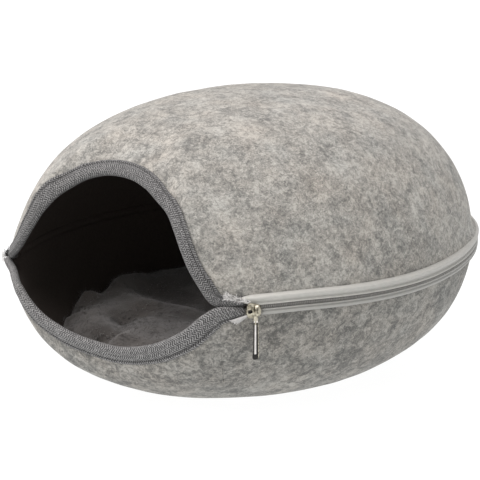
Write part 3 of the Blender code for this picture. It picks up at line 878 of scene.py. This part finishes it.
def read_vectors(items, key):
    """A vector of each of a mesh's vertices or faces."""
    flat = np.empty(len(items) * 3)
    items.foreach_get(key, flat)
    return flat.reshape(-1, 3)


def settled(piece):
    """Bake what a piece's modifiers make into its mesh."""
    graph = bpy.context.evaluated_depsgraph_get()
    mesh = bpy.data.meshes.new_from_object(piece.evaluated_get(graph))
    piece.modifiers.clear()
    piece.data = mesh


def fill_cushion(piece):
    """Blow the cover up a little, so that it draws tight between its folds."""
    before = read_vectors(piece.data.vertices, "co")
    cloth = piece.modifiers.new("fill", "CLOTH")
    cloth.settings.use_pressure = True
    cloth.settings.uniform_pressure_force = FILL_PRESSURE
    cloth.settings.effector_weights.gravity = 0.0
    for step in range(1, FILL_FRAMES + 1):
        bpy.context.scene.frame_set(step)
    settled(piece)
    bpy.context.scene.frame_set(1)
    moved = read_vectors(piece.data.vertices, "co") - before
    far = np.linalg.norm(moved, axis=1, keepdims=True)
    moved *= np.minimum(FILL_LIMIT * MM / np.maximum(far, 1e-9), 1.0)
    piece.data.vertices.foreach_set("co", (before + moved).ravel())


def cushion_ring(reach):
    """Points round the cushion's outline, drawn in to a share of its reach."""
    angles = np.linspace(0, math.tau, CUSHION_SPOKES, endpoint=False)
    c, s = np.cos(angles), np.sin(angles)
    length = np.where(s > 0, CUSHION_BACK, CUSHION_FRONT)
    return (CUSHION_HALF_WIDTH * reach * np.sign(c) * np.abs(c) ** CUSHION_SQUARENESS,
            length * reach * np.sign(s) * np.abs(s) ** CUSHION_SQUARENESS + CUSHION_MIDDLE)


def cushion_cover(plush):
    """The cushion's cover before it is filled: rings from its foot over its seam to its crown."""
    points = []
    for reach, rise in CUSHION_FOOT:
        x, y = cushion_ring(reach)
        points.append(np.stack([x, y, np.full_like(x, CUSHION_BED + rise)], axis=-1))
    for reach, share in CUSHION_TOP:
        x, y = cushion_ring(reach)
        height = CUSHION_SEAM + share * (cushion_crown(x, y) - CUSHION_SEAM)
        points.append(np.stack([x, y, height], axis=-1))
    faces = strips(len(points), CUSHION_SPOKES) + caps(len(points), CUSHION_SPOKES)
    return new_piece("plush_cushion", np.array(points).reshape(-1, 3), faces, plush)


def cushion(plush):
    """Filled oval cushion, its cover drawn tight by a short cloth simulation."""
    piece = cushion_cover(plush)
    remesh = piece.modifiers.new("even", "REMESH")
    remesh.mode = "VOXEL"
    remesh.voxel_size = VOXEL
    settled(piece)
    fill_cushion(piece)
    smooth = piece.modifiers.new("smooth", "SUBSURF")
    smooth.levels = smooth.render_levels = 1
    settled(piece)
    points = read_vectors(piece.data.vertices, "co")
    normals = read_vectors(piece.data.vertices, "normal")
    local = points / MM
    under_seam = place([0, 0, CUSHION_SEAM - 10])[2] / MM
    upper = smooth_step((local[:, 2] - under_seam) / 14)
    rumple = ripple(local * (1.0, 0.6, 1.0), 2.2, 26.0, 4.4) + ripple(local, 0.5, 9.0, 7.7)
    points += normals * (rumple * upper * MM)[:, None]
    piece.data.vertices.foreach_set("co", points.ravel())
    piece.data.shade_smooth()
    piece.data.materials.clear()
    piece.data.materials.append(plush)
    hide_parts("cushion")
    return piece


TUFTS = 16000
TUFT_LENGTH = (3.5, 7.0)
TUFT_WIDTH = 0.2


def pile(cushion_piece, plush):
    """Lying pile on the cushion's top: short locks, each a slim closed spike."""
    generator = np.random.default_rng(5)
    noise.seed_set(5)        # noise_vector differs from run to run unless it is seeded
    centres = read_vectors(cushion_piece.data.polygons, "center") / MM
    normals = read_vectors(cushion_piece.data.polygons, "normal")
    top = np.nonzero(normals[:, 2] > -0.1)[0]
    chosen = generator.choice(top, TUFTS)
    root, normal = centres[chosen], normals[chosen]
    root = root + generator.normal(size=root.shape) * (1.6, 1.6, 0.0) - normal * 0.3
    drift = np.array([noise.noise_vector(Vector(point) / 34.0) for point in root])
    lie = unit(drift + np.array([0.25, -0.35, 0.0]) + generator.normal(size=root.shape) * 0.14)
    lie = unit(lie - normal * (lie * normal).sum(-1, keepdims=True))
    heading = unit(lie + normal * generator.uniform(0.1, 0.55, size=(TUFTS, 1)))
    length = generator.uniform(*TUFT_LENGTH, size=(TUFTS, 1))
    side = unit(np.cross(heading, normal)) * TUFT_WIDTH
    tip = root + heading * length
    foot = [root + side, root - side, root + normal * TUFT_WIDTH * 0.8]
    points = np.stack([*foot, tip], axis=1).reshape(-1, 3) - MIDDLE
    points[:, 2] -= waviness(points)
    faces = []
    for i in range(0, 4 * TUFTS, 4):
        faces += [(i, i + 1, i + 2), (i, i + 3, i + 1), (i + 1, i + 3, i + 2), (i + 2, i + 3, i)]
    return new_piece("cushion_pile", points, faces, plush)


# ---- finishes -------------------------------------------------------------------------------

def reckon(operation, swapped=False):
    """Method that adds a Math node for a value and another operand."""
    def method(value, other):
        pair = (other, value) if swapped else (value, other)
        return value.math(operation, *pair)
    return method


class Value:
    """A socket in a finish's nodes; an expression on it adds the Math nodes that it needs."""

    def __init__(self, finish, socket):
        self.finish, self.socket = finish, socket

    def math(self, operation, *operands):
        return self.finish.node("ShaderNodeMath", {"operation": operation}, *operands)

    __add__, __radd__ = reckon("ADD"), reckon("ADD", swapped=True)
    __sub__, __rsub__ = reckon("SUBTRACT"), reckon("SUBTRACT", swapped=True)
    __mul__, __truediv__, __pow__ = reckon("MULTIPLY"), reckon("DIVIDE"), reckon("POWER")

    def clamped(self):
        """The value, kept between 0 and 1."""
        return self.finish.node("ShaderNodeClamp", {}, self)

    def sine(self):
        return self.math("SINE", self)

    def there_and_back(self, size):
        """Triangle wave from 0 to a size."""
        return self.math("PINGPONG", self, size)


class Finish:
    """One material, its Principled shader and the nodes that feed it."""

    def __init__(self, name, roughness, **constants):
        self.material = bpy.data.materials.new(name)
        self.material.use_nodes = True
        self.tree = self.material.node_tree
        self.shader = self.tree.nodes["Principled BSDF"]
        self.shader.inputs["Roughness"].default_value = roughness
        for socket, value in constants.items():
            self.shader.inputs[socket.replace("_", " ")].default_value = value

    def node(self, kind, settings, *inputs, output=0, **named):
        """Output of a new node, its settings made first and then its sockets fed."""
        made = self.tree.nodes.new(kind)
        for key, value in settings.items():
            if key == "stops":
                ramp = made.color_ramp.elements
                while len(ramp) < len(value):
                    ramp.new(0.5)
                for stop, (position, colour) in zip(ramp, value):
                    stop.position, stop.color = position, (*colour, 1.0)
            else:
                setattr(made, key, value)
        feeds = [(made.inputs[i], value) for i, value in enumerate(inputs)]
        for key, value in named.items():
            socket = int(key[1:]) if key[0] == "_" else key
            feeds.append((made.inputs[socket], value))
        for socket, value in feeds:
            self.feed(socket, value)
        return Value(self, made.outputs[output])

    def feed(self, socket, value):
        """Link a value, or set a number or colour."""
        if isinstance(value, Value):
            self.tree.links.new(value.socket, socket)
        elif value is not None:
            socket.default_value = value

    def mix(self, factor, first, second, blend="MIX"):
        """Colour between two colours."""
        settings = {"data_type": "RGBA", "blend_type": blend}
        return self.node("ShaderNodeMix", settings, output=2, _0=factor, _6=first, _7=second)

    def noise(self, where, scale, detail=3.0, rough=0.55, distortion=0.0, kind="FBM"):
        """Noise value at a place."""
        return self.node("ShaderNodeTexNoise", {"noise_type": kind, "normalize": True},
                         Vector=where, Scale=scale, Detail=detail, Roughness=rough,
                         Distortion=distortion)

    def stretched(self, where, scale):
        """A place, stretched along the axes."""
        return self.node("ShaderNodeVectorMath", {"operation": "MULTIPLY"}, where, scale)

    def spot(self):
        """The place on the piece, in metres."""
        return self.node("ShaderNodeTexCoord", {}, output=3)

    def woven_spot(self):
        """Distances along and across a strip, in millimetres."""
        laid = self.node("ShaderNodeTexCoord", {}, output=2)
        parts = self.tree.nodes.new("ShaderNodeSeparateXYZ")
        self.tree.links.new(laid.socket, parts.inputs[0])
        return Value(self, parts.outputs[0]) * 1000, Value(self, parts.outputs[1]) * 1000

    def ramp(self, value, stops):
        """Colour that a value has on a ramp."""
        return self.node("ShaderNodeValToRGB", {"stops": stops}, value)

    def finish(self, colour, roughness=None, height=None, bump=0.3, depth=0.001):
        """Feed what changes over the surface; bump is the relief's strength, depth its metres."""
        self.feed(self.shader.inputs["Base Color"], colour)
        self.feed(self.shader.inputs["Roughness"], roughness)
        if height is not None:
            raised = self.node("ShaderNodeBump", {}, bump, depth, Height=height)
            self.feed(self.shader.inputs["Normal"], raised)
        return self.material


def grey(value, warmth=0.0):
    """Neutral linear colour, a little warmer or cooler."""
    return (value * (1 + warmth), value, value * (1 - warmth), 1.0)


# How strongly clumps, flecks, fibres and drifts mark each half's felt, and how pale it is; the
# lower half's felt is darkened as painted shade
FELT_MARK = {"upper": (0.48, 0.50, 0.46, 0.27), "lower": (0.66, 0.62, 0.50, 0.42)}
FELT_PAINTED_SHADE = {"upper": 1.0, "lower": 0.76}
FELT_SHADES = [(0.34, (0.128, 0.126, 0.121)), (0.45, (0.234, 0.228, 0.216)),
               (0.53, (0.325, 0.313, 0.294)), (0.68, (0.49, 0.472, 0.446))]
DARK_FIBRE = (0.13, 0.128, 0.122, 1.0)
PALE_FIBRE = (0.50, 0.485, 0.46, 1.0)


def felt_finish(half):
    """Pressed wool felt: pale and dark fibres matted together in clumps."""
    made = Finish("felt_marl_" + half.name, 0.95, Sheen_Weight=0.12, Sheen_Roughness=0.6)
    spot = made.spot()
    drawn = made.stretched(spot, (1.0, 1.0, 1.15))
    drifts = made.noise(drawn, 38.0, 2.0, 0.5, 0.6)
    clumps = made.noise(drawn, 120.0, 3.0, 0.6, 0.9)
    flecks = made.noise(drawn, 330.0, 2.0, 0.6, 1.2)
    fibres = made.noise(spot, 800.0, 2.0, 0.6, 1.5)
    curls = made.noise(drawn, 240.0, 2.0, 0.6, 3.0, "RIDGED_MULTIFRACTAL")
    tint = made.noise(spot, 30.0, 3.0, 0.6)
    mark = FELT_MARK[half.name]
    tone = clumps * mark[0] + flecks * mark[1] + fibres * mark[2] + drifts * mark[3]
    tone = tone + (0.5 - sum(mark) / 2)
    colour = made.ramp(tone.clamped(), FELT_SHADES)
    specks = made.noise(spot, 540.0, 1.0, 0.5, 2.0)
    colour = made.mix((specks * -5.0 + 2.05).clamped() * 0.45, colour, DARK_FIBRE)
    colour = made.mix((curls - 0.55).clamped() * 1.3, colour, PALE_FIBRE)
    # painted shade: the lower half's felt is made darker, as its downward-facing side is in shade
    pale = FELT_PAINTED_SHADE[half.name]
    warm = made.mix((tint * 2.4 - 0.75).clamped(), (0.975 * pale, pale, 0.985 * pale, 1.0),
                    (1.03 * pale, pale, 0.945 * pale, 1.0))
    colour = made.mix(1.0, colour, warm, "MULTIPLY")
    return made.finish(colour, height=clumps * 0.4 + flecks * 0.6 + fibres * 0.5 + curls * 0.2,
                       bump=0.45, depth=0.0008)


def speckled_finish(name, roughness, scale, detail, dark, pale, bump=0.0, depth=0.0):
    """Material speckled between a dark and a pale colour, raised by its speckles."""
    made = Finish(name, roughness)
    shade = made.noise(made.spot(), scale, detail)
    return made.finish(made.mix(shade, dark, pale), height=shade if bump else None, bump=bump,
                       depth=depth)


def lining_finish():
    """Near-black brushed lining."""
    return speckled_finish("lining_knit", 0.95, 500.0, 2.0, (0.064, 0.051, 0.043, 1.0),
                           (0.118, 0.095, 0.081, 1.0), bump=0.3, depth=0.0004)


def coil_finish():
    """Nylon coil."""
    return speckled_finish("coil_nylon", 0.4, 400.0, 1.0, (0.16, 0.156, 0.146, 1.0),
                           (0.28, 0.273, 0.256, 1.0), bump=0.1, depth=0.0002)


def thread_finish(name, dark, pale):
    """Loose thread."""
    return speckled_finish(name, 0.7, 600.0, 1.0, grey(dark, 0.02), grey(pale, 0.02))


# the groove's tape is a darker copy of the same tape: painted shade in the sewn groove
TAPE_PALE_AND_GROOVE_SHADE = [("upper", 0.80), ("lower", 1.0), ("groove", 0.50)]
RIB_PITCH = 2.2              # herringbone: pitch of its ribs, width of a zigzag, pitch of its warp
ZIGZAG_WIDTH = 2.4
WARP_PITCH = 1.2


def tape_finish(name, pale):
    """Grey herringbone tape."""
    made = Finish(name, 0.85, Sheen_Weight=0.1)
    along, across = made.woven_spot()
    slub = made.noise(made.spot(), 620.0, 2.0)
    zigzag = across.there_and_back(ZIGZAG_WIDTH)
    rib = ((along + zigzag * 0.9 + slub) * (math.tau / RIB_PITCH)).sine() * 0.5 + 0.5
    warp = (across * (math.tau / WARP_PITCH)).sine() * 0.5 + 0.5
    tone = (rib ** 1.6 * (0.5 + warp * 0.6) + (slub - 0.5) * 1.6 - 0.42) * 1.35 + 0.42
    colour = made.mix(tone.clamped(), grey(0.040 * pale), grey(0.345 * pale, 0.012))
    return made.finish(colour, height=rib * 0.6 + warp * 0.3 + slub * 0.4, bump=0.6, depth=0.0006)


# the upper band's colour is raised well above the lower band's: a painted highlight on its
# upward-facing top
BAND_PALE_AND_HIGHLIGHT = {"upper": 1.36, "lower": 0.98}
PAINTED_LIGHT_FADE = (1.11, 0.88)          # the band is palest beside the slider, a painted highlight, and darker round the back, painted shade
PAINTED_LIGHT_FADE_LENGTH = 280.0
THREAD_PITCH = (0.7, 0.6)    # along and across the band


def band_finish(half):
    """Pale silver-grey zip tape, finely woven and a little satin."""
    pale = BAND_PALE_AND_HIGHLIGHT[half.name]
    made = Finish("zip_band_satin_" + half.name, 0.5, Sheen_Weight=0.2)
    along, across = made.woven_spot()
    threads = (along * (math.tau / THREAD_PITCH[0])).sine() * 0.5 + 0.5
    rows = (across * (math.tau / THREAD_PITCH[1])).sine() * 0.5 + 0.5
    slub = made.noise(made.spot(), 260.0, 3.0)
    weave = (slub * 0.6 + threads * rows * 0.3).clamped()
    colour = made.mix(weave, (0.275 * pale, 0.272 * pale, 0.254 * pale, 1.0),
                      (0.405 * pale, 0.400 * pale, 0.373 * pale, 1.0))
    # painted light: the colour is raised beside the slider and lowered towards the back, where the
    # band turns away into shade
    painted_light_fade = made.mix((along / PAINTED_LIGHT_FADE_LENGTH).clamped(), grey(PAINTED_LIGHT_FADE[0]), grey(PAINTED_LIGHT_FADE[1]))
    colour = made.mix(1.0, colour, painted_light_fade, "MULTIPLY")
    return made.finish(colour, height=threads * rows + slub * 0.5, bump=0.15, depth=0.0003)


def plated_metal_finish():
    """Plated zip metal, darker in random spots: partly wear, partly painted reflection."""
    made = Finish("plated_zip_metal", 0.22, Metallic=1.0)
    metal_mottle = made.noise(made.spot(), 420.0, 3.0, 0.6)
    # random dark spots: partly wear, partly painted reflection
    colour = made.mix(((metal_mottle - 0.34) * 3.4).clamped(), (0.15, 0.135, 0.10, 1.0),
                      (0.66, 0.62, 0.50, 1.0))
    return made.finish(colour, roughness=metal_mottle * 0.3 + 0.15, height=metal_mottle, bump=0.2, depth=0.0004)


def highlight_metal_finish():
    """Polished zip metal, paler than the plated metal: partly polish and partly a painted highlight
    on the pull's tab.
    """
    made = Finish("polished_highlight_zip_metal", 0.15, Metallic=1.0)
    metal_mottle = made.noise(made.spot(), 300.0, 2.0)
    colour = made.mix(metal_mottle, grey(0.52, 0.04), grey(0.86, 0.04))
    return made.finish(colour, roughness=metal_mottle * 0.15 + 0.12)


def shade_metal_finish():
    """Near-black metal: painted shade and painted reflection in the slider's hole, the pull's
    grooves, its left rim and its rib's foot.
    """
    made = Finish("painted_shade_zip_metal", 0.4, Metallic=1.0)
    shade_mottle = made.noise(made.spot(), 900.0, 2.0)
    colour = made.mix(shade_mottle, grey(0.018, 0.03), grey(0.06, 0.03))
    return made.finish(colour, roughness=shade_mottle * 0.3 + 0.25)


PALE_PATCH_MIDDLE = (-0.086, -0.108, 0.068)      # middle of a patch where the plush is paler, metres


def plush_finish():
    """Grey plush with a lying pile."""
    made = Finish("plush_pile", 1.0, Sheen_Weight=0.35, Sheen_Roughness=0.6)
    spot = made.spot()
    nap = made.noise(made.stretched(spot, (1.0, 0.5, 1.0)), 330.0, 3.0, 0.6, 0.8)
    tufts = made.noise(spot, 42.0, 3.0, 0.6, 0.6)
    # the plush is made paler within a radius of one point
    away = made.node("ShaderNodeVectorMath", {"operation": "DISTANCE"}, spot, PALE_PATCH_MIDDLE, output=1)
    brushed = (1.50 - away * 22.0).clamped()
    tone = nap * 0.35 + (tufts - 0.5) * 1.8 + 0.20 + brushed * 0.55
    colour = made.mix(tone.clamped(), (0.044, 0.039, 0.035, 1.0), (0.094, 0.084, 0.075, 1.0))
    return made.finish(colour, height=nap * 0.5 + tufts, bump=0.5, depth=0.0015)


def floor_finish():
    """White studio floor, lit from below so that shadows on it stay faint."""
    made = Finish("studio_white", 0.9, Emission_Color=(1.0, 1.0, 1.0, 1.0), Emission_Strength=0.96)
    tone = made.noise(made.spot(), 3.0, 1.0)
    return made.finish(made.mix(tone, grey(0.07), grey(0.09)))


# ---- studio ---------------------------------------------------------------------------------

AZIMUTH = math.radians(41.197)
ELEVATION = math.radians(13.822)
DISTANCE = 1.80              # metres
OFFSET_RIGHT = -0.0052
OFFSET_UP = 0.0050
FOCAL_LENGTH = 156.6
SENSOR_WIDTH = 36.0


def camera():
    """Camera that looks back at the middle of the zip line, a little off it."""
    back = Vector((math.sin(AZIMUTH) * math.cos(ELEVATION),
                   -math.cos(AZIMUTH) * math.cos(ELEVATION), math.sin(ELEVATION)))
    right = Vector((math.cos(AZIMUTH), math.sin(AZIMUTH), 0))
    data = bpy.data.cameras.new("camera")
    data.lens = FOCAL_LENGTH
    data.sensor_width = SENSOR_WIDTH
    data.clip_start, data.clip_end = 0.05, 50.0
    eye = bpy.data.objects.new("camera", data)
    offset = right * OFFSET_RIGHT + back.cross(right) * OFFSET_UP
    eye.location = Vector(place([0, 0, 0])) + back * DISTANCE + offset
    eye.rotation_euler = (-back).to_track_quat("-Z", "Y").to_euler()
    bpy.context.scene.collection.objects.link(eye)
    bpy.context.scene.camera = eye


LAMP_TOWARDS = Vector((-0.27, -0.42, 1.0))
LAMP_STRENGTH = 3.24
LAMP_SPREAD = math.radians(90.0)
LAMP_COLOUR = (1.0, 0.950, 0.945)


def sky_lamp():
    """Wide, far lamp that lights everything evenly from above the mouth's left side."""
    data = bpy.data.lights.new("top_light", "SUN")
    data.energy = LAMP_STRENGTH
    data.angle = LAMP_SPREAD
    data.color = LAMP_COLOUR
    made = bpy.data.objects.new("top_light", data)
    made.rotation_euler = LAMP_TOWARDS.to_track_quat("Z", "Y").to_euler()
    bpy.context.scene.collection.objects.link(made)


FLOOR_REACH = 14.0           # metres
FLOOR_LEVEL = -0.0005
SURROUND_STRENGTH = 0.62


def studio():
    """White floor, white surround and a soft lamp."""
    mesh = bpy.data.meshes.new("floor")
    corners = [(x * FLOOR_REACH, y * FLOOR_REACH, 0)
               for x, y in ((-1, -1), (1, -1), (1, 1), (-1, 1))]
    mesh.from_pydata(corners, [], [(0, 1, 2, 3)])
    mesh.materials.append(floor_finish())
    floor = bpy.data.objects.new("floor", mesh)
    floor.location.z = FLOOR_LEVEL
    bpy.context.scene.collection.objects.link(floor)
    world = bpy.data.worlds.new("surround")
    world.use_nodes = True
    shade = world.node_tree.nodes["Background"]
    shade.inputs["Color"].default_value = (1, 1, 1, 1)
    shade.inputs["Strength"].default_value = SURROUND_STRENGTH
    bpy.context.scene.world = world
    sky_lamp()
    bpy.context.scene.view_settings.view_transform = "Standard"


# ---- the whole ------------------------------------------------------------------------------

def main():
    """Build the cave, hang its pieces on one body and light it."""
    lining = lining_finish()
    tapes = {name: tape_finish("herringbone_tape_" + name, pale) for name, pale in TAPE_PALE_AND_GROOVE_SHADE}
    nylon, plush = coil_finish(), plush_finish()
    plated, highlight_metal, shaded_metal = plated_metal_finish(), highlight_metal_finish(), shade_metal_finish()
    soft = []
    for half in (DOME, BASE):
        wall = shell("felt_wall_" + half.name, half, *wall_grid(half), 0.0, -FELT,
                     felt_finish(half))
        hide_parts("felt_" + half.name)
        inside = shell("lining_wall_" + half.name, half, *wall_grid(half, LINING_START),
                       -FELT - GAP, -WALL, lining)
        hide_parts("lining_" + half.name)
        edge = binding(half, tapes[half.name], tapes["groove"])
        band = zip_band(half, band_finish(half))
        soft += [wall, inside, edge, band]
    cover = seam_cover(lining)
    teeth = coil_teeth(nylon)
    for piece in soft + [cover, teeth]:
        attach(piece, "root")
    metal_pieces = [slider(plated, shaded_metal), pull(highlight_metal, shaded_metal, plated)]
    # one thread in two copies: the loose threads paler, painted light against their shade, and the
    # cut tail darker, painted shade
    ravel = frays(thread_finish("ravelled_thread_brightened", 0.62, 0.92), nylon,
                  thread_finish("tack_thread_painted_shade", 0.035, 0.10), thread_finish("cut_tape_shaded", 0.36, 0.54))
    pad = cushion(plush)
    nap = pile(pad, plush)
    for piece in metal_pieces + [ravel, pad, nap]:
        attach(piece, "root")
    studio()
    camera()


main()
